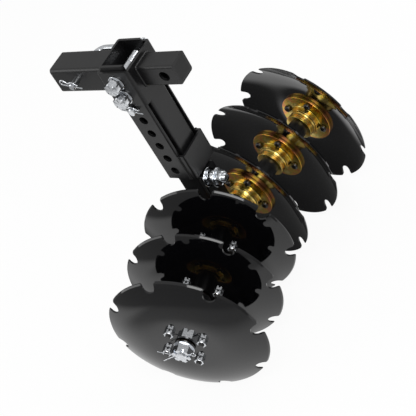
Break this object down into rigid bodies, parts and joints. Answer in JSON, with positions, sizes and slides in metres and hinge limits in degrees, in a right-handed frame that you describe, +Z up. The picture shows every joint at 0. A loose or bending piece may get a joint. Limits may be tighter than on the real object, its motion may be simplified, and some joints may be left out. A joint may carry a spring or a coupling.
{
  "type": "disc harrow",
  "caption": "Compact hitch-mounted disc harrow: V-set gangs of notched concave blades on flanged hubs, below a perforated upright with a square hitch bar, receiver socket, pins and clips.",
  "frame": {"origin": "on the floor under the middle of the machine's length, in its plane of symmetry", "axes": "+X along the hitch bar towards its free end, +Y across along the far gang, +Z up"},
  "size_m": [0.4354, 0.7708, 0.6965],
  "materials": {
    "frame_black": "satin powder coat",
    "plug_black": "matte",
    "bright_zinc": "bright zinc plate",
    "blade_black": "mirror gloss",
    "hub_gold": "yellow zinc plate",
    "hub_fasteners": "bright zinc plate"
  },
  "bodies": {
    "frame": {"hitch_shank": "frame_black", "receiver_tube": "frame_black", "head_sleeve": "frame_black", "upright_channel": "frame_black", "leg_tube": "frame_black", "leg_keeper": "frame_black", "lock_plate": "frame_black", "axle_socket_far": "frame_black", "axle_socket_near": "frame_black", "spacers_far": "frame_black", "spacers_near": "frame_black", "shank_cap": "plug_black", "receiver_pin": "bright_zinc", "receiver_clip": "bright_zinc", "upper_clamp_bolt": "bright_zinc", "lower_clamp_bolt": "bright_zinc", "clamp_washers": "bright_zinc", "clamp_nuts": "bright_zinc", "stop_pin": "bright_zinc", "stop_clip": "bright_zinc", "lock_bolt": "bright_zinc", "lock_nuts": "bright_zinc", "axle_far": "bright_zinc", "axle_near": "bright_zinc", "axle_washers": "bright_zinc", "castle_nuts": "bright_zinc", "cotter_pins": "bright_zinc"},
    "disc_1": {"blade_1": "blade_black", "hub_1": "hub_gold", "hub_bolts_1": "hub_fasteners"},
    "disc_2": {"blade_2": "blade_black", "hub_2": "hub_gold", "hub_bolts_2": "hub_fasteners"},
    "disc_3": {"blade_3": "blade_black", "hub_3": "hub_gold", "hub_bolts_3": "hub_fasteners"},
    "disc_4": {"blade_4": "blade_black", "hub_4": "hub_gold", "hub_bolts_4": "hub_fasteners"},
    "disc_5": {"blade_5": "blade_black", "hub_5": "hub_gold", "hub_bolts_5": "hub_fasteners"},
    "disc_6": {"blade_6": "blade_black", "hub_6": "hub_gold", "hub_bolts_6": "hub_fasteners"}
  },
  "joints": [
    {"name": "disc_1_spin", "type": "hinge", "parent": "frame", "child": "disc_1", "pos_m": [-0.02002, 0, 0.1785], "axis": [0.1925, 0.9813, 0], "continuous": true},
    {"name": "disc_2_spin", "type": "hinge", "parent": "frame", "child": "disc_2", "pos_m": [-0.02002, 0, 0.1785], "axis": [0.1925, 0.9813, 0], "continuous": true},
    {"name": "disc_3_spin", "type": "hinge", "parent": "frame", "child": "disc_3", "pos_m": [-0.02002, 0, 0.1785], "axis": [0.1925, 0.9813, 0], "continuous": true},
    {"name": "disc_4_spin", "type": "hinge", "parent": "frame", "child": "disc_4", "pos_m": [-0.02002, 0, 0.1785], "axis": [0.1925, -0.9813, 0], "continuous": true},
    {"name": "disc_5_spin", "type": "hinge", "parent": "frame", "child": "disc_5", "pos_m": [-0.02002, 0, 0.1785], "axis": [0.1925, -0.9813, 0], "continuous": true},
    {"name": "disc_6_spin", "type": "hinge", "parent": "frame", "child": "disc_6", "pos_m": [-0.02002, 0, 0.1785], "axis": [0.1925, -0.9813, 0], "continuous": true}
  ]
}
